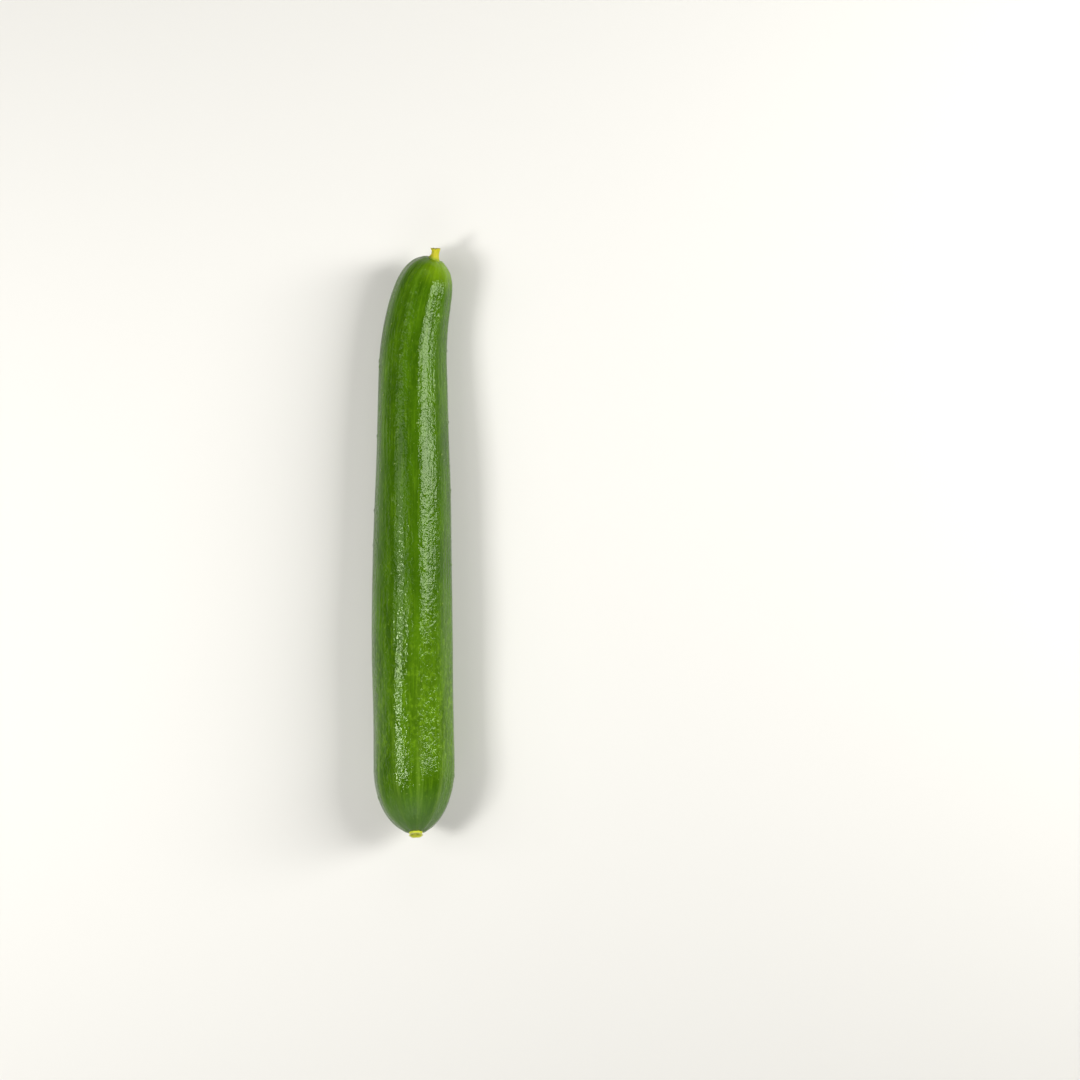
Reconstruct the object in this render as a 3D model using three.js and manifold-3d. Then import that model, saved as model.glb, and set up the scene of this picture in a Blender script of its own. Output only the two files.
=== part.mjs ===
// A small slicing cucumber, as picked, lying on a flat surface.
// Millimetres, +Z up. The fruit lies along Y with its stem end at +Y, and it rests on z = 0.

import * as THREE from 'three';
import { mergeVertices } from 'three/addons/utils/BufferGeometryUtils.js';
import Module from 'manifold-3d';

const wasm = await Module();
wasm.setup();

// The fruit's length and girth. A share runs from 0 at the stem end to 1 at the blossom end.
const reach = 183.3; // along Y, from one end of the skin to the other
const neckRadius = 9.75;
const bellyRadius = 12.93;
const neckEnds = 0.065; // share where the neck starts to widen
const bellyStarts = 0.7; // share where the full girth is reached
const swelling = 1.7; // how early it widens: 1 is an even taper
const stemDome = { length: 16.6, squareness: 2.6 };
const blossomDome = { length: 21.5, squareness: 2.05 };

// How the fruit bends: sideways and up, each over a length at one end.
const stemBend = { sideways: 6.95, over: 35.6, power: 2.0 };
const blossomBend = { sideways: 1.25, over: 52.2, power: 2.0 };
const stemLift = { up: 3.0, over: 34.0, power: 3.0 };
const blossomLift = { up: 4.2, over: 34.0, power: 2.8 };

// The section is a soft triangle with a flat side down, and it has shallow ribs.
const triangular = 0.025; // share of the radius
const ribCount = 10;
const ribDepth = { middle: 0.006, ends: 0.012, over: 30.0 }; // shares of the radius, and millimetres
const ribTwist = THREE.MathUtils.degToRad(8); // from end to end

// The underside waves a little, so that the fruit rests on three low spots, pressed flat.
const restShares = { first: 0.2, apart: 0.3 };
const pressedIn = 0.25;
const wave = 0.4;

// The skin's facets
const sides = 5 * ribCount;
const trunkSteps = 27;
const domeSteps = 9;

// Pimples stand along the ribs.
const pimpleCount = 84;
const pimple = { width: 1.15, proud: 0.26, root: 0.2, sides: 6, clearOfFloor: 1.2 };
const pimpleEnds = 0.06; // share at either end with none
const pimpleStrides = { along: 0.754878, around: 0.56984, beside: 0.618034 }; // they hardly repeat
const besideCrest = 0.5; // share of a rib's width that the pimples spread over

// The broken stalk, and the scar of the flower. Heights are above the end of the skin.
const gap = 0.3; // between a piece and the cup that it stands in
const endSides = 20;
const stub = { foot: 1.8, neck: 1.1, tip: 1.5, height: 3.3, rib: 0.08, ribs: 5, lean: 0.75, slant: -0.45 };
const stubCupDepth = 0.95;
const nub = { foot: 2.0, rim: 2.25, height: 0.85, dish: 0.42, style: 0.3, rib: 0.025, ribs: 6 };
const nubFacesUp = 0.18; // how far its face falls back towards the top, per radius
const nubCupDepth = 0.8;

const up = new THREE.Vector3(0, 0, 1);
const down = -Math.PI / 2; // the angle of the underside, seen along the fruit

// How far a bend has gone at a distance from its own end of the fruit.
function bendAt(fromEnd, over, power) {
  return Math.max(0, 1 - fromEnd / over) ** power;
}

// A share of full girth that closes an end, as a rounded dome.
function domeAt(fromEnd, { length, squareness }) {
  const q = THREE.MathUtils.clamp(1 - fromEnd / length, 0, 1);
  return (1 - q ** squareness) ** (1 / squareness);
}

function trunkRadius(share) {
  const q = THREE.MathUtils.clamp((share - neckEnds) / (bellyStarts - neckEnds), 0, 1);
  return neckRadius + (bellyRadius - neckRadius) * (1 - (1 - q) ** swelling);
}

function skinRadius(share) {
  const closing = domeAt(share * reach, stemDome) * domeAt((1 - share) * reach, blossomDome);
  return trunkRadius(share) * closing;
}

// Height of the underside before the floor presses it flat.
function undersideHeight(share) {
  const turns = (share - restShares.first) / restShares.apart;
  const lift = stemLift.up * bendAt(share * reach, stemLift.over, stemLift.power)
    + blossomLift.up * bendAt((1 - share) * reach, blossomLift.over, blossomLift.power);
  return lift - pressedIn + wave * (1 - Math.cos(2 * Math.PI * turns)) / 2;
}

// The line through the middle of the fruit, from the stem end to the blossom end.
class MiddleLine extends THREE.Curve {
  getPoint(share, target = new THREE.Vector3()) {
    const sideways = stemBend.sideways * bendAt(share * reach, stemBend.over, stemBend.power)
      + blossomBend.sideways * bendAt((1 - share) * reach, blossomBend.over, blossomBend.power);
    const height = trunkRadius(share) * (1 - triangular) + undersideHeight(share);
    return target.set(sideways, reach * (0.5 - share), height);
  }
}

const middle = new MiddleLine();

// The directions at a place on the middle line: along it, across it and upwards.
function frameAt(share) {
  const along = middle.getTangent(share);
  const across = new THREE.Vector3().crossVectors(up, along).normalize();
  const upwards = new THREE.Vector3().crossVectors(along, across);
  return { at: middle.getPoint(share), along, across, upwards };
}

function ribShare(share) {
  const nearEnd = bendAt(share * reach, ribDepth.over, 1) + bendAt((1 - share) * reach, ribDepth.over, 1);
  return ribDepth.middle + (ribDepth.ends - ribDepth.middle) * nearEnd;
}

// A point of the skin. The angle is 0 on the +X side and a quarter turn on top.
function skinPoint(share, angle) {
  const { at, across, upwards } = frameAt(share);
  const lobes = -triangular * Math.cos(3 * (angle - down));
  const ribs = ribShare(share) * Math.cos(ribCount * (angle - ribTwist * share));
  const radius = skinRadius(share) * (1 + lobes + ribs);
  at.addScaledVector(across, radius * Math.cos(angle));
  at.addScaledVector(upwards, radius * Math.sin(angle));
  at.z = Math.max(at.z, 0);
  return at;
}

// One closed skin over rings of points, each closed at its end by a pole.
function loft(firstPole, rings, lastPole) {
  const count = rings[0].length;
  const points = [firstPole, ...rings.flat(), lastPole];
  const last = points.length - 1;
  const corner = (ring, side) => 1 + ring * count + (side % count);
  const faces = [];
  for (let side = 0; side < count; side += 1) {
    faces.push(0, corner(0, side + 1), corner(0, side));
    for (let ring = 0; ring < rings.length - 1; ring += 1) {
      faces.push(corner(ring, side), corner(ring, side + 1), corner(ring + 1, side));
      faces.push(corner(ring, side + 1), corner(ring + 1, side + 1), corner(ring + 1, side));
    }
    faces.push(last, corner(rings.length - 1, side), corner(rings.length - 1, side + 1));
  }
  const geometry = new THREE.BufferGeometry().setFromPoints(points);
  geometry.setIndex(faces);
  return geometry;
}

function ringOf(count, pointAt) {
  return Array.from({ length: count }, (_, side) => pointAt((2 * Math.PI * side) / count));
}

// Shares where the skin's rings stand: close together on the domes, evenly between them.
function ringShares() {
  const trunk = reach - stemDome.length - blossomDome.length;
  const shares = [];
  for (let step = 1; step <= domeSteps; step += 1) {
    const turn = (Math.PI / 2) * (step / domeSteps);
    shares.push((stemDome.length * (1 - Math.cos(turn))) / reach);
  }
  for (let step = 1; step < trunkSteps; step += 1) {
    shares.push((stemDome.length + (trunk * step) / trunkSteps) / reach);
  }
  for (let step = domeSteps; step >= 1; step -= 1) {
    const turn = (Math.PI / 2) * (step / domeSteps);
    shares.push(1 - (blossomDome.length * (1 - Math.cos(turn))) / reach);
  }
  return shares;
}

function smoothFruit() {
  const rings = ringShares().map((share) => ringOf(sides, (angle) => skinPoint(share, angle)));
  return loft(middle.getPoint(0), rings, middle.getPoint(1));
}

function toSolid(geometry) {
  const bare = geometry.clone();
  bare.deleteAttribute('normal');
  bare.deleteAttribute('uv');
  const merged = mergeVertices(bare);
  const vertProperties = new Float32Array(merged.attributes.position.array);
  const triVerts = new Uint32Array(merged.index.array);
  return new wasm.Manifold(new wasm.Mesh({ numProp: 3, vertProperties, triVerts }));
}

function toGeometry(solid) {
  const { vertProperties, triVerts } = solid.getMesh();
  const geometry = new THREE.BufferGeometry();
  geometry.setAttribute('position', new THREE.BufferAttribute(vertProperties, 3));
  geometry.setIndex(new THREE.BufferAttribute(triVerts, 1));
  return geometry;
}

// A number between 0 and 1 that hardly repeats, from its place in a row.
function scattered(index, stride) {
  return (0.5 + index * stride) % 1;
}

// Where the pimples stand: spread evenly over the skin, each near the crest of a rib.
function pimplePlaces() {
  const places = [];
  for (let index = 0; index < pimpleCount; index += 1) {
    const share = pimpleEnds + (1 - 2 * pimpleEnds) * scattered(index, pimpleStrides.along);
    const rib = Math.floor(ribCount * scattered(index, pimpleStrides.around));
    const beside = besideCrest * (scattered(index, pimpleStrides.beside) - 0.5);
    const angle = (2 * Math.PI * (rib + beside)) / ribCount + ribTwist * share;
    if (skinPoint(share, angle).z > pimple.clearOfFloor) places.push({ share, angle });
  }
  return places;
}

// A low cone, with its root sunk in the skin and its tip facing out of it.
function pimpleAt({ share, angle }) {
  const at = skinPoint(share, angle);
  const outward = at.clone().sub(middle.getPoint(share)).normalize();
  const height = pimple.proud + pimple.root;
  const footRadius = (pimple.width / 2) * (height / pimple.proud);
  const cone = new THREE.ConeGeometry(footRadius, height, pimple.sides);
  cone.translate(0, height / 2 - pimple.root, 0);
  cone.applyQuaternion(new THREE.Quaternion().setFromUnitVectors(new THREE.Vector3(0, 1, 0), outward));
  return cone.translate(at.x, at.y, at.z);
}

// A cup in one end of the skin, wide enough for the foot of the piece that stands in it.
function cupAt(share, radius, depth) {
  const { at, along } = frameAt(share);
  const inward = share < 0.5 ? along : along.clone().negate();
  const cup = new THREE.CylinderGeometry(radius, radius, 2 * depth, 2 * endSides);
  cup.applyQuaternion(new THREE.Quaternion().setFromUnitVectors(new THREE.Vector3(0, 1, 0), inward));
  return cup.translate(at.x, at.y, at.z);
}

function fruit() {
  const bumps = pimplePlaces().map((place) => toSolid(pimpleAt(place)));
  const bumpy = wasm.Manifold.union([toSolid(smoothFruit()), ...bumps]);
  const stubCup = toSolid(cupAt(0, stub.foot * (1 + stub.rib) + gap, stubCupDepth));
  const nubCup = toSolid(cupAt(1, nub.foot * (1 + nub.rib) + gap, nubCupDepth));
  return toGeometry(bumpy.subtract(stubCup).subtract(nubCup));
}

// A point of an end piece, out along the fruit's own axis and then out to a side of it.
function endPoint(end, height, radius, angle) {
  const at = end.at.clone();
  at.addScaledVector(end.outward, height);
  at.addScaledVector(end.across, radius * Math.cos(angle));
  return at.addScaledVector(end.upwards, radius * Math.sin(angle));
}

// The directions at an end of the fruit, with the first one pointing out of it.
function endFrame(share) {
  const { at, along, across, upwards } = frameAt(share);
  if (share > 0.5) return { at, outward: along, across, upwards };
  return { at, outward: along.negate(), across: across.negate(), upwards };
}

// The stalk's stub: flared at the foot, ribbed, leaning as it leaves the skin, and broken off on a slant.
function stemStub() {
  const end = endFrame(0);
  const leaning = (height) => stub.lean * (Math.max(height, 0) / stub.height) ** 2;
  const profile = [
    [gap - stubCupDepth, stub.foot],
    [0, stub.foot * 0.97],
    [stub.height * 0.14, stub.foot * 0.82],
    [stub.height * 0.32, stub.neck * 1.08],
    [stub.height * 0.55, stub.neck],
    [stub.height * 0.82, stub.neck * 1.06],
    [stub.height, stub.tip],
    [stub.height * 0.97, stub.tip * 0.72],
  ];
  const rings = profile.map(([height, radius]) => ringOf(endSides, (angle) => {
    const ribbed = radius * (1 + stub.rib * Math.cos(stub.ribs * angle));
    const broken = stub.slant * Math.cos(angle) * Math.max(0, height / stub.height) ** 3;
    return endPoint(end, height + broken, ribbed, angle).addScaledVector(end.across, leaning(height));
  }));
  const foot = endPoint(end, gap - stubCupDepth, 0, 0);
  const hollow = endPoint(end, stub.height * 0.88, leaning(stub.height), 0);
  return loft(foot, rings, hollow);
}

// The flower's scar: a low button with a raised rim and the rest of the style in its dish.
function blossomNub() {
  const end = endFrame(1);
  const profile = [
    [gap - nubCupDepth, nub.foot],
    [0, nub.foot],
    [nub.height * 0.45, nub.foot * 0.97],
    [nub.height * 0.85, nub.rim],
    [nub.height, nub.rim * 0.93],
    [nub.height * 0.9, nub.rim * 0.76],
    [nub.height - nub.dish, nub.rim * 0.5],
    [nub.height - nub.dish, nub.rim * 0.24],
    [nub.height - nub.dish + nub.style * 0.8, nub.rim * 0.17],
  ];
  const rings = profile.map(([height, radius]) => ringOf(endSides, (angle) => {
    const ribbed = radius * (1 + nub.rib * Math.cos(nub.ribs * angle));
    const back = nubFacesUp * ribbed * Math.sin(angle) * THREE.MathUtils.clamp(height / nub.height, 0, 1);
    return endPoint(end, height - back, ribbed, angle);
  }));
  const foot = endPoint(end, gap - nubCupDepth, 0, 0);
  const style = endPoint(end, nub.height - nub.dish + nub.style, 0, 0);
  return loft(foot, rings, style);
}

const green = new THREE.MeshStandardMaterial({ color: 0x4b7216, roughness: 0.35, metalness: 0 });
const paleStalk = new THREE.MeshStandardMaterial({ color: 0xc3c23a, roughness: 0.6, metalness: 0 });
const paleScar = new THREE.MeshStandardMaterial({ color: 0xb6bc46, roughness: 0.65, metalness: 0 });

function piece(name, geometry, material) {
  const mesh = new THREE.Mesh(geometry, material);
  mesh.name = name;
  return mesh;
}

const cucumber = new THREE.Group();
cucumber.add(piece('fruit', fruit(), green));
cucumber.add(piece('stem_stub', stemStub(), paleStalk));
cucumber.add(piece('blossom_nub', blossomNub(), paleScar));

// The origin goes under the middle of the whole part.
const box = new THREE.Box3().setFromObject(cucumber);
const centre = box.getCenter(new THREE.Vector3());
cucumber.position.set(-centre.x, -centre.y, -box.min.z);

export default cucumber;
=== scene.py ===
import math

import bpy
import numpy as np
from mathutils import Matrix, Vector


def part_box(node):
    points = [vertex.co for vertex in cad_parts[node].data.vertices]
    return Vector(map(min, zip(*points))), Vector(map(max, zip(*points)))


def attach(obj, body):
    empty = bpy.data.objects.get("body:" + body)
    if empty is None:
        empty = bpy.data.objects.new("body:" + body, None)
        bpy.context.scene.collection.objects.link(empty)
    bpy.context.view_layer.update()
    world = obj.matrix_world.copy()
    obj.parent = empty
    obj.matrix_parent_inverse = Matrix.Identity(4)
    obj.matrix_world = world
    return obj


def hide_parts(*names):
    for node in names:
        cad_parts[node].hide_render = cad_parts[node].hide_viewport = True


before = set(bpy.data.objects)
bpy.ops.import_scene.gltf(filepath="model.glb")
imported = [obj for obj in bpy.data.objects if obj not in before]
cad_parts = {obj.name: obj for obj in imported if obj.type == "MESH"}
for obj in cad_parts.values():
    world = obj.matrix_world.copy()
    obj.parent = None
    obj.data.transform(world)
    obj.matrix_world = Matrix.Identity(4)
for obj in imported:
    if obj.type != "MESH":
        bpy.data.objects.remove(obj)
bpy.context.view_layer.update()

# A small slicing cucumber, as picked: waxy ribbed skin, a broken stalk and the scar of its flower.
# Metres, +Z up. The stem end is at +Y, and a share runs from 0 at the stem end to 1 at the blossom end.
# Angles go round the fruit from the +X side over the top.

mm = 0.001
fullTurn = 2 * math.pi
underAngle = -math.pi / 2

fruitForm = {
    "reach": 183.3 * mm,                          # along Y, skin to skin
    "neckRadius": 9.75 * mm,
    "bellyRadius": 12.93 * mm,
    "neckEnds": 0.065,                            # share where the neck starts to widen
    "bellyStarts": 0.7,                           # share where the full girth is reached
    "swelling": 1.7,                              # power of the girth's growth between the two
    "stemDome": (16.6 * mm, 2.6),                 # length, squareness
    "blossomDome": (21.5 * mm, 2.05),
    "stemBend": (6.95 * mm, 35.6 * mm, 2.0),      # how far sideways, over what length, power
    "blossomBend": (1.25 * mm, 52.2 * mm, 2.0),
    "stemLift": (3.0 * mm, 34.0 * mm, 3.0),       # how far up, over what length, power
    "blossomLift": (4.2 * mm, 34.0 * mm, 2.8),
    "triangular": 0.025,                          # share of the radius
    "ribCount": 10,
    "ribMiddle": 0.006,                           # shares of the radius
    "ribEnds": 0.012,
    "ribEndsOver": 30.0 * mm,
    "ribTwist": math.radians(8),
    "restFirst": 0.2,                             # share of the first low spot underneath
    "restApart": 0.3,                             # share from one low spot to the next
    "pressedIn": 0.25 * mm,                       # how much of a low spot is pressed flat
    "wave": 0.4 * mm,                             # how far the skin rises between the low spots
}


def bendAt(fromEnd, over, power):
    return np.maximum(0, 1 - fromEnd / over) ** power


def domeAt(fromEnd, length, squareness):
    q = np.clip(1 - fromEnd / length, 0, 1)
    return (1 - q ** squareness) ** (1 / squareness)


def smoothBetween(low, high, value):
    q = np.clip((value - low) / (high - low), 0, 1)
    return q * q * (3 - 2 * q)


def trunkRadius(share):
    f = fruitForm
    q = np.clip((share - f["neckEnds"]) / (f["bellyStarts"] - f["neckEnds"]), 0, 1)
    return f["neckRadius"] + (f["bellyRadius"] - f["neckRadius"]) * (1 - (1 - q) ** f["swelling"])


def fromStem(share):
    return share * fruitForm["reach"]


def fromBlossom(share):
    return (1 - share) * fruitForm["reach"]


def pushedAt(share, stemPush, blossomPush):
    stemBy, *stemRun = stemPush
    blossomBy, *blossomRun = blossomPush
    return stemBy * bendAt(fromStem(share), *stemRun) + blossomBy * bendAt(fromBlossom(share), *blossomRun)


def middleLine(share):
    f = fruitForm
    sideways = pushedAt(share, f["stemBend"], f["blossomBend"])
    lift = pushedAt(share, f["stemLift"], f["blossomLift"])
    turns = (share - f["restFirst"]) / f["restApart"]
    under = lift - f["pressedIn"] + f["wave"] * (1 - np.cos(fullTurn * turns)) / 2
    height = trunkRadius(share) * (1 - f["triangular"]) + under
    return np.stack([sideways, f["reach"] * (0.5 - share), height], -1)


def unit(vectors):
    return vectors / np.linalg.norm(vectors, axis=-1, keepdims=True)


# Where the middle line is at a share, and the directions there: along it, across it and upwards.
def placeAt(share):
    step = 1e-4
    along = unit(middleLine(np.minimum(share + step, 1)) - middleLine(np.maximum(share - step, 0)))
    across = unit(np.cross([0, 0, 1], along))
    return middleLine(share), along, across, np.cross(along, across)


def ribShare(share):
    f = fruitForm
    nearEnd = bendAt(fromStem(share), f["ribEndsOver"], 1) + bendAt(fromBlossom(share), f["ribEndsOver"], 1)
    return f["ribMiddle"] + (f["ribEnds"] - f["ribMiddle"]) * nearEnd


def ribWave(share, angle):
    return np.cos(fruitForm["ribCount"] * (angle - fruitForm["ribTwist"] * share))


# Gentle unevenness that closes on itself round the fruit: a sum of waves drawn with a seed.
def grownWaves(share, angle, count, mostAround, mostAlong, seed):
    draw = np.random.default_rng(seed)
    total = 0
    for _ in range(count):
        around = draw.integers(-mostAround, mostAround + 1)
        along = draw.uniform(0.3, 1) * mostAlong * draw.choice([-1, 1])
        total = total + np.cos(around * angle + along * fullTurn * share + draw.uniform(0, fullTurn))
    return total / math.sqrt(count / 2)


def plainRadius(share, angle):
    f = fruitForm
    closing = domeAt(fromStem(share), *f["stemDome"]) * domeAt(fromBlossom(share), *f["blossomDome"])
    lobes = -f["triangular"] * np.cos(3 * (angle - underAngle))
    return trunkRadius(share) * closing * (1 + lobes + ribShare(share) * ribWave(share, angle))


def skinAt(share, angle, radius):
    at, _, across, upwards = placeAt(share)
    point = at + across * (radius * np.cos(angle))[..., None] + upwards * (radius * np.sin(angle))[..., None]
    point[..., 2] = np.maximum(point[..., 2], 0)
    return point


pimpleRow = {
    "count": 84,
    "endsFree": 0.06,                             # share at either end with none
    "height": 0.24 * mm,
    "spread": 0.36 * mm,
    "floorFree": 1.2 * mm,                        # none lies lower than this
}


# Values from 0 to 1 that are spread evenly, each index in its own gap.
def scattered(index, stride):
    return (0.5 + index * stride) % 1


# The pimples' places, each beside the crest of a rib, as the solid has them.
def pimplePlaces():
    row = pimpleRow
    places = []
    for index in range(row["count"]):
        share = row["endsFree"] + (1 - 2 * row["endsFree"]) * scattered(index, 0.754878)
        rib = math.floor(fruitForm["ribCount"] * scattered(index, 0.56984))
        besideCrest = 0.5 * (scattered(index, 0.618034) - 0.5)
        angle = fullTurn * (rib + besideCrest) / fruitForm["ribCount"] + fruitForm["ribTwist"] * share
        here, way = np.array(share), np.array(angle)
        if skinAt(here, way, plainRadius(here, way))[2] > row["floorFree"]:
            places.append((share, angle))
    return places


def pimpleMask(share, angle):
    mask = np.zeros(np.broadcast(share, angle).shape)
    reach, spread = fruitForm["reach"], pimpleRow["spread"]
    for placeShare, placeAngle in pimplePlaces():
        rows = np.abs(share[:, 0] - placeShare) * reach < 4 * spread
        radiusHere = float(plainRadius(np.array(placeShare), np.array(placeAngle)))
        turn = (angle - placeAngle + math.pi) % fullTurn - math.pi
        apart = (share[rows] - placeShare) ** 2 * reach ** 2 + (turn * radiusHere) ** 2
        mask[rows] += np.exp(-apart / spread ** 2)
    return np.minimum(mask, 1)


skinRelief = {
    "around": 240,                                # corners in a ring
    "trunkRings": 290,
    "domeRings": 55,
    "dents": 0.10 * mm,                           # slow unevenness, as grown
    "ridges": 0.022 * mm,                         # fine lengthwise ridges
    "ridgeCount": 46,
    "collar": 0.16 * mm,                          # raised ring of skin round the stalk and the scar
    "collarRadius": 3.1 * mm,
    "collarWidth": 0.9 * mm,
}


def ringShares():
    f, relief = fruitForm, skinRelief
    stemLength, blossomLength = f["stemDome"][0], f["blossomDome"][0]
    turns = np.arange(1, relief["domeRings"] + 1) / relief["domeRings"] * math.pi / 2
    stem = stemLength * (1 - np.cos(turns))
    trunk = np.linspace(stemLength, f["reach"] - blossomLength, relief["trunkRings"] + 2)[1:-1]
    blossom = f["reach"] - blossomLength * (1 - np.cos(turns))
    return np.concatenate([stem, trunk, blossom[::-1]]) / f["reach"]


def anglesAround(count):
    return (np.arange(count) / count * fullTurn)[None, :]


# From the formulas' origin, which is halfway along the fruit, to the frame's.
def shiftToFrame():
    share, angle = ringShares()[:, None], anglesAround(skinRelief["around"])
    points = skinAt(share, angle, plainRadius(share, angle))
    low, high = points.min(axis=(0, 1)), points.max(axis=(0, 1))
    cadLow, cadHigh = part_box("fruit")
    shift = (np.array(cadLow) + np.array(cadHigh) - low - high) / 2
    return np.array([shift[0], shift[1], 0])


# A closed mesh over rings of points, each end closed by one pole.
def loftedPiece(name, firstPole, rings, lastPole):
    rowCount, sides = rings.shape[:2]
    points = np.concatenate([[firstPole], rings.reshape(-1, 3), [lastPole]]) + shiftToFrame()
    corner = 1 + np.arange(rowCount * sides).reshape(rowCount, sides)
    after = np.roll(corner, -1, axis=1)
    quads = np.stack([corner[:-1], after[:-1], after[1:], corner[1:]], -1).reshape(-1, 4)
    firstFan = [[0, int(b), int(a)] for a, b in zip(corner[0], after[0])]
    lastFan = [[len(points) - 1, int(a), int(b)] for a, b in zip(corner[-1], after[-1])]
    mesh = bpy.data.meshes.new(name)
    mesh.from_pydata(points.tolist(), [], firstFan + quads.tolist() + lastFan)
    mesh.shade_smooth()
    piece = bpy.data.objects.new(name, mesh)
    bpy.context.scene.collection.objects.link(piece)
    return piece


# Keeps a value or a vector for each corner, for the materials to read.
def keepOnCorners(piece, name, values, firstValue, lastValue):
    flat = values.reshape(-1, 3) if values.ndim == 3 else values.reshape(-1)
    every = np.concatenate([[firstValue], flat, [lastValue]]).astype(np.float32)
    kind, field = ("FLOAT_VECTOR", "vector") if values.ndim == 3 else ("FLOAT", "value")
    piece.data.attributes.new(name, kind, "POINT").data.foreach_set(field, every.ravel())


def makeFruit():
    relief, f = skinRelief, fruitForm
    share = ringShares()[:, None]
    angle = anglesAround(relief["around"])
    radius = plainRadius(share, angle)
    pimples = pimpleMask(share, angle)
    fullness = np.minimum(1, radius / f["neckRadius"])
    ridges = np.cos(relief["ridgeCount"] * angle + 1.5 * grownWaves(share, angle, 6, 3, 2, 11))
    radius = radius + fullness * (
        relief["dents"] * grownWaves(share, angle, 14, 4, 5, 3)
        + relief["ridges"] * ridges * (0.6 + 0.4 * grownWaves(share, angle, 6, 5, 7, 5))
        + pimpleRow["height"] * pimples)
    points = skinAt(share, angle, radius)
    _, along, _, _ = placeAt(share)
    collar = np.exp(-((radius - relief["collarRadius"]) / relief["collarWidth"]) ** 2) * relief["collar"]
    atStem, atBlossom = fromStem(share) < f["stemDome"][0], fromBlossom(share) < f["blossomDome"][0]
    outwards = (atBlossom * 1.0 - atStem * 1.0) * collar * (1 + 0.5 * ribWave(share, angle))
    points = points + along * outwards[..., None]
    piece = loftedPiece("cucumberSkin", middleLine(np.array(0.0)), points, middleLine(np.array(1.0)))

    # Straightened places in millimetres: the skin's patterns run along the fruit and close round it.
    girth = f["bellyRadius"] / mm
    lengthwise = np.broadcast_to(fromStem(share) / mm, radius.shape)
    straight = np.stack([np.broadcast_to(girth * np.cos(angle), radius.shape),
                         np.broadcast_to(girth * np.sin(angle), radius.shape), lengthwise], -1)
    keepOnCorners(piece, "skinPlace", straight, (0, 0, 0), (0, 0, f["reach"] / mm))
    keepOnCorners(piece, "ribCrest", ribWave(share, angle), 0, 0)
    keepOnCorners(piece, "pimple", pimples, 0, 0)
    keepOnCorners(piece, "fromStem", lengthwise, 0, f["reach"] / mm)
    keepOnCorners(piece, "fromBlossom", f["reach"] / mm - lengthwise, f["reach"] / mm, 0)
    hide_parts("fruit")
    return piece


# Where an end piece stands: the middle line's end, and the directions out of it, across and up.
def endPlace(share):
    at, along, across, upwards = placeAt(np.array(share))
    return (at, along, across, upwards) if share > 0.5 else (at, -along, -across, upwards)


def endPoints(place, height, radius, angle, leaning=0):
    at, outward, across, upwards = place
    sideways = across * (radius * np.cos(angle) + leaning)[..., None]
    return at + outward * height[..., None] + sideways + upwards * (radius * np.sin(angle))[..., None]


stubForm = {
    "foot": 1.8 * mm,
    "neck": 1.1 * mm,
    "tip": 1.5 * mm,
    "height": 3.3 * mm,
    "root": 0.65 * mm,                            # how deep it goes under the skin's end
    "footOver": 0.85 * mm,                        # how far up the foot spreads
    "flare": 0.45 * mm,                           # how much wider the foot gets where it meets the skin
    "flareFades": (-0.55 * mm, 0.25 * mm),        # heights between which the flare ends
    "ribs": 5,
    "rib": 0.08,
    "lean": 0.75 * mm,                            # how far the tip leans sideways
    "slant": -0.45 * mm,                          # how much the break falls to that side
    "hollow": 0.35 * mm,                          # how deep the middle of the break lies
    "sides": 120,
    "rings": 70,
    "sideShare": 0.86,                            # share of the rings on the side, the rest is the break
    "fray": 0.14 * mm,                            # ragged fibres at the break
}


def makeStub():
    f = stubForm
    place = endPlace(0.0)
    angle = anglesAround(f["sides"])
    step = np.linspace(0, 1, f["rings"])[:, None]
    side = f["sideShare"]
    height = -f["root"] + (f["height"] + f["root"]) * np.minimum(step / side, 1)
    grown = np.maximum(height, 0) / f["height"]
    foot = (f["foot"] - f["neck"]) * np.exp(-(np.maximum(height, 0) / f["footOver"]) ** 1.5)
    flare = f["flare"] * (1 - smoothBetween(*f["flareFades"], height))
    radius = f["neck"] + foot + flare + (f["tip"] - f["neck"]) * grown ** 3
    inwards = np.clip((step - side) / (1 - side), 0, 1)
    edge = np.sqrt(np.maximum(1 - inwards ** 2, 0))
    radius = radius * np.where(step > side, np.maximum(1 - inwards, 0.03), 1)
    ribs = 1 + f["rib"] * np.cos(f["ribs"] * angle) * (0.4 + 0.6 * edge)
    # Fine fibres on the ribs, and ragged ones where the stalk broke off.
    fibres = 0.03 * np.cos(17 * angle + 2 * grown) + 0.02 * np.cos(31 * angle - 3 * grown)
    radius = radius * (ribs + fibres * smoothBetween(0, 0.3, grown))
    hollow = -f["hollow"] * inwards ** 1.5
    ragged = f["fray"] * (np.cos(7 * angle + 1) * np.cos(13 * angle) + 0.6 * np.cos(23 * angle + 2))
    broken = f["slant"] * np.cos(angle) * grown ** 3 + ragged * grown ** 10 * (1 - inwards) ** 0.5 + hollow
    points = endPoints(place, height + broken, radius, angle, f["lean"] * grown ** 2)
    spread = np.broadcast_to(grown, radius.shape)
    firstPole = endPoints(place, np.array(-f["root"]), np.array(0.0), 0.0)
    piece = loftedPiece("stalkStub", firstPole, points, points[-1].mean(axis=0))
    keepOnCorners(piece, "grown", spread, 0, 1)
    keepOnCorners(piece, "broken", np.broadcast_to(inwards, radius.shape), 0, 1)
    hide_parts("stem_stub")
    return piece


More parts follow.
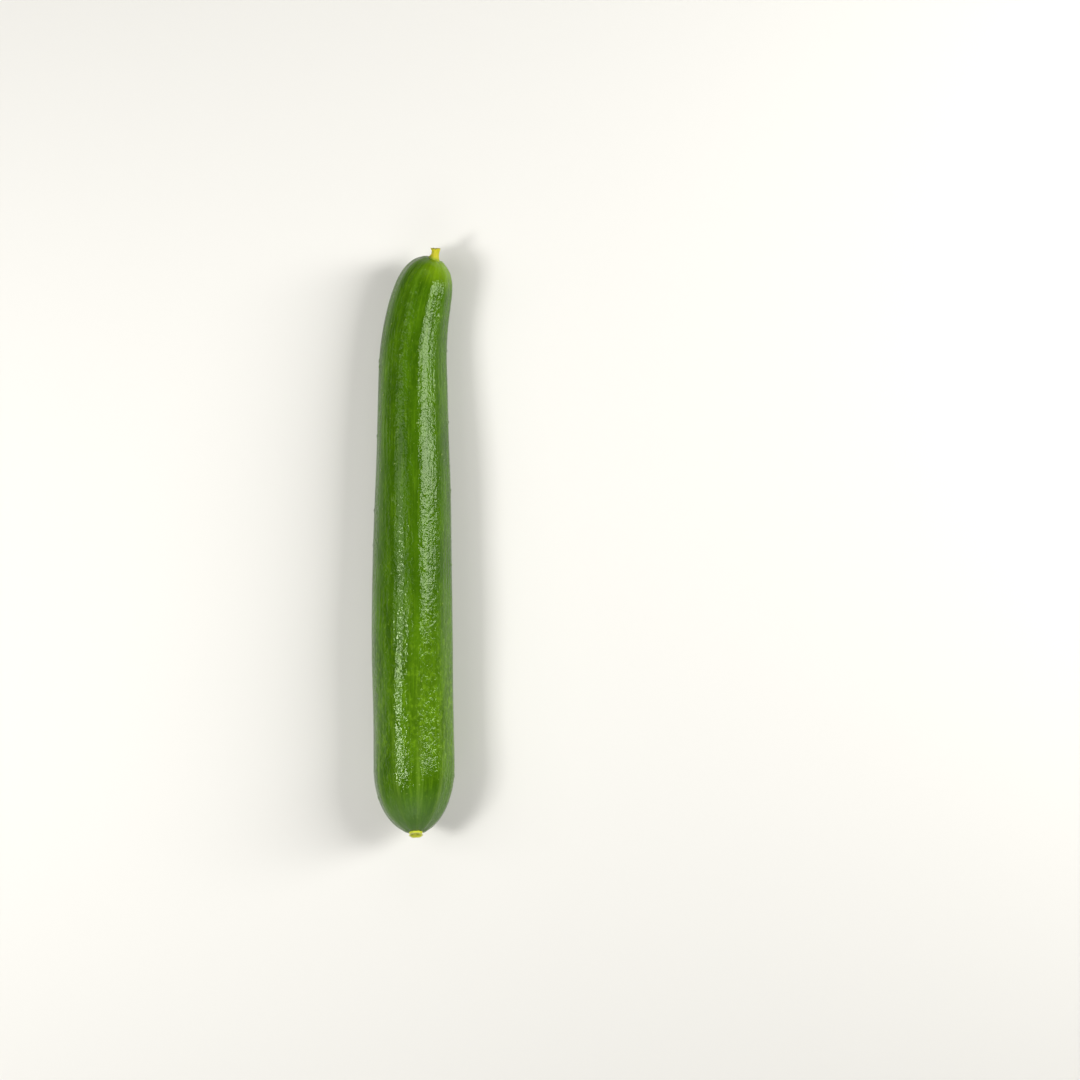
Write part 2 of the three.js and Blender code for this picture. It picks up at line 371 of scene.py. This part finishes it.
nubForm = {
    "foot": 2.0 * mm,
    "rim": 2.25 * mm,
    "height": 0.85 * mm,
    "root": 0.5 * mm,
    "dish": 0.42 * mm,                            # how deep the middle lies under the rim
    "style": 0.3 * mm,                            # how high the rest of the flower stands in it
    "facesUp": 0.18,                              # how far its face falls back at the top, per radius
    "ribs": 6,
    "rib": 0.025,
    "sides": 120,
    "rings": 90,
    "rimAt": 0.48,                                # share of the rings where the rim is highest
    "rounding": 0.022,                            # how far the corners below are rounded, as a share
    "crinkle": 0.05 * mm,
    "scallop": 0.04 * mm,                         # how much the rim rises over each rib
}


def makeNub():
    f = nubForm
    place = endPlace(1.0)
    angle = anglesAround(f["sides"])
    step = np.linspace(0, 1, f["rings"])[:, None]
    floorHeight = f["height"] - f["dish"]
    knots = np.array([                            # step, height, radius
        [0.00, -f["root"], f["foot"] * 1.12],
        [0.12, -0.15 * mm, f["foot"] * 1.05],
        [0.26, f["height"] * 0.45, f["foot"] * 0.95],
        [0.40, f["height"] * 0.88, f["rim"]],
        [f["rimAt"], f["height"], f["rim"] * 0.93],
        [0.56, f["height"] * 0.90, f["rim"] * 0.78],
        [0.70, floorHeight, f["rim"] * 0.52],
        [0.82, floorHeight, f["rim"] * 0.26],
        [0.92, floorHeight + f["style"] * 0.8, f["rim"] * 0.16],
        [1.00, floorHeight + f["style"], f["rim"] * 0.03],
    ])
    fine = np.linspace(0, 1, 401)
    soft = np.exp(-0.5 * ((step - fine[None, :]) / f["rounding"]) ** 2)
    soft = soft / soft.sum(axis=1, keepdims=True)
    height, radius = (soft @ np.interp(fine, knots[:, 0], knots[:, i])[:, None] for i in (1, 2))
    lobes = 1 + f["rib"] * np.cos(f["ribs"] * angle + 0.4) + 0.01 * np.cos(11 * angle + 2)
    radius = radius * lobes
    rimmed = np.exp(-((step - f["rimAt"]) / 0.12) ** 2)
    crossing = np.cos(9 * angle + 1) * np.cos(14 * angle - 2)
    crinkles = f["crinkle"] * (np.cos(19 * angle + 5 * step) + crossing)
    height = height + crinkles * rimmed + f["scallop"] * rimmed * np.cos(f["ribs"] * angle + 0.4)
    height = height - f["facesUp"] * radius * np.sin(angle) * np.clip(height / f["height"], 0, 1)
    points = endPoints(place, height, radius, angle)
    firstPole = endPoints(place, np.array(-f["root"]), np.array(0.0), 0.0)
    piece = loftedPiece("flowerScar", firstPole, points, points[-1].mean(axis=0))
    keepOnCorners(piece, "rimmed", np.broadcast_to(rimmed, radius.shape), 0, 0)
    keepOnCorners(piece, "dished", np.broadcast_to(smoothBetween(0.5, 0.7, step), radius.shape), 0, 1)
    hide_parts("blossom_nub")
    return piece


# A socket that can be used in sums: each one adds its own Math node to the same material.
class Wire:
    def __init__(self, tree, socket=None):
        self.tree = tree
        self.socket = socket

    # Any node: its type, its settings, then the values and wires of its sockets.
    def node(self, kind, settings, links, out=0):
        made = self.tree.nodes.new(kind)
        for name, value in settings.items():
            setattr(made, name, value)
        for key, value in links.items():
            if isinstance(value, Wire):
                self.tree.links.new(value.socket, made.inputs[key])
            else:
                made.inputs[key].default_value = value
        return Wire(self.tree, made.outputs[out])

    def sum(self, operation, *values, clamp=False):
        settings = {"operation": operation, "use_clamp": clamp}
        return self.node("ShaderNodeMath", settings, dict(enumerate(values)))

    def __add__(self, other):
        return self.sum("ADD", self, other)

    def __sub__(self, other):
        return self.sum("SUBTRACT", self, other)

    def __rsub__(self, other):
        return self.sum("SUBTRACT", other, self)

    def __mul__(self, other):
        return self.sum("MULTIPLY", self, other)

    __radd__ = __add__
    __rmul__ = __mul__

    def held(self):
        return self.sum("ADD", self, 0, clamp=True)

    # 0 below the first value and 1 above the second, with a soft step between.
    def between(self, low, high):
        links = {"Value": self, 1: low, 2: high, 3: 0.0, 4: 1.0}
        return self.node("ShaderNodeMapRange", {"interpolation_type": "SMOOTHSTEP"}, links)

    # From one colour to another, by a share.
    def mixed(self, first, second, share):
        return self.node("ShaderNodeMix", {"data_type": "RGBA"}, {0: share, 6: first, 7: second}, out=2)

    # The colour in this wire, turned towards another one by a share.
    def towards(self, colour, share):
        return self.mixed(self, colour, share)

    def kept(self, name, out="Fac"):
        return self.node("ShaderNodeAttribute", {"attribute_name": name}, {}, out=out)

    # Where a point is, in millimetres from the frame's origin.
    def placeInFrame(self):
        return self.node("ShaderNodeTexCoord", {}, {}, out="Object").stretched(1 / mm, 1 / mm, 1 / mm)

    def stretched(self, x, y, z):
        links = {0: self, 1: (x, y, z)}
        return self.node("ShaderNodeVectorMath", {"operation": "MULTIPLY"}, links)

    def noise(self, scale, detail=2.0, roughness=0.5):
        links = {"Vector": self, "Scale": scale, "Detail": detail, "Roughness": roughness}
        return self.node("ShaderNodeTexNoise", {}, links)

    # How deep this place is inside a small round spot: 1 in its middle.
    def spots(self, scale, size):
        links = {"Vector": self, "Scale": scale}
        return 1 - self.node("ShaderNodeTexVoronoi", {}, links, out="Distance").between(size * 0.4, size)

    # A surface that this wire's values raise and sink.
    def bump(self, strength, distance):
        links = {"Strength": strength, "Distance": distance, "Height": self}
        return self.node("ShaderNodeBump", {}, links)


# A colour as it is read in a picture, such as "4f7509", in the light that Blender works in.
def seen(code, brighter=1.0):
    values = [int(code[i:i + 2], 16) / 255 for i in (0, 2, 4)]
    linear = [v / 12.92 if v <= 0.04045 else ((v + 0.055) / 1.055) ** 2.4 for v in values]
    return (*[min(1.0, v * brighter) for v in linear], 1.0)


# Every colour of a look, as the shader takes it.
def tintsOf(look):
    return {name: seen(code, look["brighter"]) for name, code in look.items() if isinstance(code, str)}


def newFinish(name, steady):
    material = bpy.data.materials.new(name)
    material.use_nodes = True
    shader = material.node_tree.nodes["Principled BSDF"]
    for socketName, value in steady.items():
        shader.inputs[socketName].default_value = value
    return material, Wire(material.node_tree), shader


def plug(material, shader, wires):
    for socketName, wire in wires.items():
        material.node_tree.links.new(wire.socket, shader.inputs[socketName])


skinLook = {
    "dark": "365b05",
    "green": "4f7a08",
    "light": "78a31c",
    "stripe": "8aa845",
    "stemBlush": "8db312",
    # Grey-green at the blossom end: partly its own bloom, partly a painted sheen.
    "blossomBloomAndSheen": "5b7c40",
    "pimpleTip": "a9c069",
    "speck": "9db85c",
    "brighter": 0.80,                             # all of the colours, against what the photo shows
    "shine": (0.85, 1.0, 0.65, 1.0),              # the wax tints what it mirrors
    "rough": 0.055,
    "roughMore": 0.06,
    "crinkle": 0.22,                              # strength of the small unevenness in the shine
    "crinkleDepth": 1.0 * mm,
    "blots": 0.2,                                 # from here on, how strongly each pattern shows
    "bellyBlots": 0.2,
    # The next two set painted light over the belly, rising from the -X side across the top to the +X side.
    "paintedLightBlots": 0.34,
    "paintedLightBelly": 0.2,
    "darkWaist": 0.35,
    "paleFibres": 0.26,
    "darkThreads": 0.36,
    "stripes": 0.24,
    "specks": 0.5,
    "pimpleTips": 0.65,
}


def finishSkin():
    look = skinLook
    tint = tintsOf(look)
    material, wire, shader = newFinish("waxySkin", {
        "Specular IOR Level": 0.20, "Specular Tint": look["shine"]})
    place = wire.kept("skinPlace", "Vector")
    crest = wire.kept("ribCrest")
    pimple = wire.kept("pimple")
    stem = wire.kept("fromStem")                  # millimetres from either end
    blossom = wire.kept("fromBlossom")

    patches = place.stretched(1, 1, 0.35).noise(0.22, 2.0)
    blots = place.stretched(1, 1, 0.7).noise(0.7, 3.0, 0.6)
    fibres = place.stretched(1, 1, 0.06).noise(1.3, 3.0, 0.6)
    threads = place.stretched(1, 1, 0.04).noise(3.0, 2.0, 0.6)
    grain = place.noise(2.4, 3.0, 0.6)

    # The full part near the blossom end, the +X side of the fruit, and the darker stretch past the neck.
    belly = (1 - blossom.between(40, 85)) * blossom.between(12, 30)
    towardsPlusX = wire.node("ShaderNodeSeparateXYZ", {}, {0: place}).between(-8, 6)
    waist = stem.between(35, 65) * (1 - stem.between(95, 125))

    green = wire.mixed(tint["dark"], tint["green"], patches.between(0.2, 0.8))
    # Painted light: over the belly, the pale blots and a lighter wash grow from the -X side across the top
    # to the +X side, as if lit from there, so the -X side stays darker as if in shade.
    mottled = look["blots"] + belly * (look["bellyBlots"] + look["paintedLightBlots"] * towardsPlusX)
    green = green.towards(tint["light"], blots.between(0.45, 0.72) * mottled)
    green = green.towards(tint["light"], belly * towardsPlusX * look["paintedLightBelly"])
    green = green.towards(tint["dark"], waist * look["darkWaist"])
    green = green.towards(tint["light"], fibres.between(0.5, 0.72) * look["paleFibres"])
    green = green.towards(tint["dark"], threads.between(0.48, 0.66) * look["darkThreads"])

    # Ten pale stripes, one on each rib, strongest at the blossom end and short at the stem end.
    stripeReach = 1 - blossom.between(6, 60)
    stripeReach = (stripeReach + (1 - stem.between(4, 26)) * 0.3).held()
    stripes = crest.between(0.35, 0.95) * fibres.between(0.3, 0.6) * stripeReach * look["stripes"]
    green = green.towards(tint["stripe"], stripes)

    nearStalk = (1 - stem.between(0.3, 9)) * (0.1 + 0.9 * towardsPlusX)
    green = green.towards(tint["stemBlush"], nearStalk * (0.4 + 0.6 * fibres))
    # Near the scar the skin turns grey-green: partly its own bloom, partly a painted sheen over the dome.
    nearScar = 1 - blossom.between(1, 16)
    green = green.towards(tint["blossomBloomAndSheen"], nearScar * (0.5 + 0.3 * patches))

    specks = place.stretched(1, 1, 0.75).spots(0.62, 0.17) * grain.between(0.5, 0.6)
    green = green.towards(tint["speck"], specks * look["specks"])
    green = green.towards(tint["pimpleTip"], pimple.between(0.35, 0.95) * look["pimpleTips"])

    crinkles = place.stretched(1, 1, 0.7).noise(0.75, 2.0, 0.6) + 0.25 * place.noise(1.7, 1.0, 0.5)
    crinkles = crinkles * (1.45 - 0.5 * blossom.between(70, 130))
    plug(material, shader, {
        "Base Color": green,
        "Roughness": look["rough"] + look["roughMore"] * patches,
        "Normal": crinkles.bump(look["crinkle"], look["crinkleDepth"]),
    })
    return material


stalkLook = {
    "fresh": "d0c824",
    "green": "9db41c",
    "pale": "e2dc70",
    "dry": "a8923c",
    "brighter": 0.78,
    "grainStrength": 0.35,
    "grainDepth": 0.25 * mm,
}


def finishStalk():
    look = stalkLook
    tint = tintsOf(look)
    material, wire, shader = newFinish("dryStalk", {"Specular IOR Level": 0.3})
    place = wire.placeInFrame()
    grown = wire.kept("grown")
    broken = wire.kept("broken")
    fibres = place.stretched(1, 0.12, 1).noise(3.2, 3.0, 0.6)
    grain = place.noise(4.0, 3.0, 0.6)
    colour = wire.mixed(tint["green"], tint["fresh"], grown.between(0, 0.35))
    colour = colour.towards(tint["pale"], fibres.between(0.55, 0.75) * 0.35)
    colour = colour.towards(tint["green"], (1 - fibres.between(0.32, 0.5)) * 0.45)
    dried = broken.between(0.0, 0.5) * 0.5 + grown.between(0.9, 1) * 0.3
    colour = colour.towards(tint["dry"], dried * grain)
    plug(material, shader, {
        "Base Color": colour,
        "Roughness": 0.55 + 0.2 * grain,
        "Normal": (fibres + 0.4 * grain).bump(look["grainStrength"], look["grainDepth"]),
    })
    return material


scarLook = {
    "green": "b4c22c",
    "yellow": "d2d238",
    "rim": "e4e59a",
    "dry": "a39440",
    "brighter": 0.97,
    "grainStrength": 0.35,
    "grainDepth": 0.25 * mm,
}


def finishScar():
    look = scarLook
    tint = tintsOf(look)
    material, wire, shader = newFinish("dryScar", {"Specular IOR Level": 0.3})
    place = wire.placeInFrame()
    rimmed = wire.kept("rimmed")
    dished = wire.kept("dished")
    grain = place.noise(2.6, 4.0, 0.6)
    colour = wire.mixed(tint["green"], tint["yellow"], grain.between(0.35, 0.65))
    colour = colour.towards(tint["rim"], rimmed.between(0.4, 1) * 0.75)
    colour = colour.towards(tint["dry"], dished * grain.between(0.45, 0.7) * 0.3)
    plug(material, shader, {
        "Base Color": colour,
        "Roughness": 0.6 + 0.15 * grain,
        "Normal": grain.bump(look["grainStrength"], look["grainDepth"]),
    })
    return material


cameraLook = {
    "photoSide": 1080,                            # pixels
    "pixel": 0.32 * mm,                           # what a pixel covers at the fruit's widest line
    "originPixel": (413.0, 542.25),               # where the frame's origin is in the photo
    "widestHeight": 13.0 * mm,
    "lens": 100.0,                                # millimetres, as the sensor's width
    "sensor": 36.0,
}


def setCamera():
    look = cameraLook
    camera = bpy.data.objects.new("camera", bpy.data.cameras.new("camera"))
    bpy.context.scene.collection.objects.link(camera)
    camera.data.sensor_width = look["sensor"]
    camera.data.lens = look["lens"]
    away = look["photoSide"] * look["pixel"] * look["lens"] / look["sensor"]
    middle = look["photoSide"] / 2
    camera.location = ((middle - look["originPixel"][0]) * look["pixel"],
                       (look["originPixel"][1] - middle) * look["pixel"],
                       look["widestHeight"] + away)
    camera.data.clip_start, camera.data.clip_end = 0.01, 20
    bpy.context.scene.camera = camera


# Soft boxes: where each stands, what it faces, its size and power.
studioLook = {
    "boxes": [
        ("stripLower", (-0.33, -0.09, 0.46), (0.0, -0.04, 0.01), (0.11, 0.15), 1.9),
        ("panelLeft", (-0.37, 0.08, 0.47), (0.0, 0.04, 0.01), (0.19, 0.48), 0.95),
        ("boxRight", (0.55, 0.12, 0.42), (0.0, 0.06, 0.01), (0.20, 0.52), 5.2),
        ("fillStem", (0.0, 0.78, 0.62), (0.0, 0.0, 0.01), (0.60, 0.40), 0.6),
        ("fillBlossom", (-0.05, -0.80, 0.62), (0.0, 0.0, 0.01), (0.60, 0.40), 1.2),
    ],
    "around": 0.06,                               # strength of the light from all round
    "floor": "dddbd5",
    "floorHalf": 3.0,
}


def setStudio():
    look = studioLook
    scene = bpy.context.scene
    for name, at, facing, (width, length), power in look["boxes"]:
        light = bpy.data.lights.new(name, "AREA")
        light.shape = "RECTANGLE"
        light.size, light.size_y = width, length
        light.energy = power
        box = bpy.data.objects.new(name, light)
        box.location = at
        box.rotation_euler = (Vector(facing) - Vector(at)).to_track_quat("-Z", "Y").to_euler()
        box.visible_camera = False
        scene.collection.objects.link(box)
    world = bpy.data.worlds.new("paleRoom")
    world.use_nodes = True
    back = world.node_tree.nodes["Background"]
    back.inputs["Color"].default_value = (1, 1, 1, 1)
    back.inputs["Strength"].default_value = look["around"]
    scene.world = world
    scene.view_settings.view_transform = "Standard"

    half = look["floorHalf"]
    corners = [(-half, -half, 0), (half, -half, 0), (half, half, 0), (-half, half, 0)]
    mesh = bpy.data.meshes.new("floor")
    mesh.from_pydata(corners, [], [(0, 1, 2, 3)])
    floor = bpy.data.objects.new("floor", mesh)
    scene.collection.objects.link(floor)
    material, _, _ = newFinish("paleFloor", {
        "Base Color": seen(look["floor"]), "Roughness": 0.9, "Specular IOR Level": 0.1})
    mesh.materials.append(material)


setCamera()
print("camera set")

fruit = makeFruit()
print("skin made:", len(fruit.data.polygons), "faces")
stub = makeStub()
nub = makeNub()
print("stalk and scar made:", len(stub.data.polygons), "and", len(nub.data.polygons), "faces")

fruit.data.materials.append(finishSkin())
stub.data.materials.append(finishStalk())
nub.data.materials.append(finishScar())
print("finishes made")

setStudio()
print("studio set")

for piece in (fruit, stub, nub):
    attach(piece, "root")
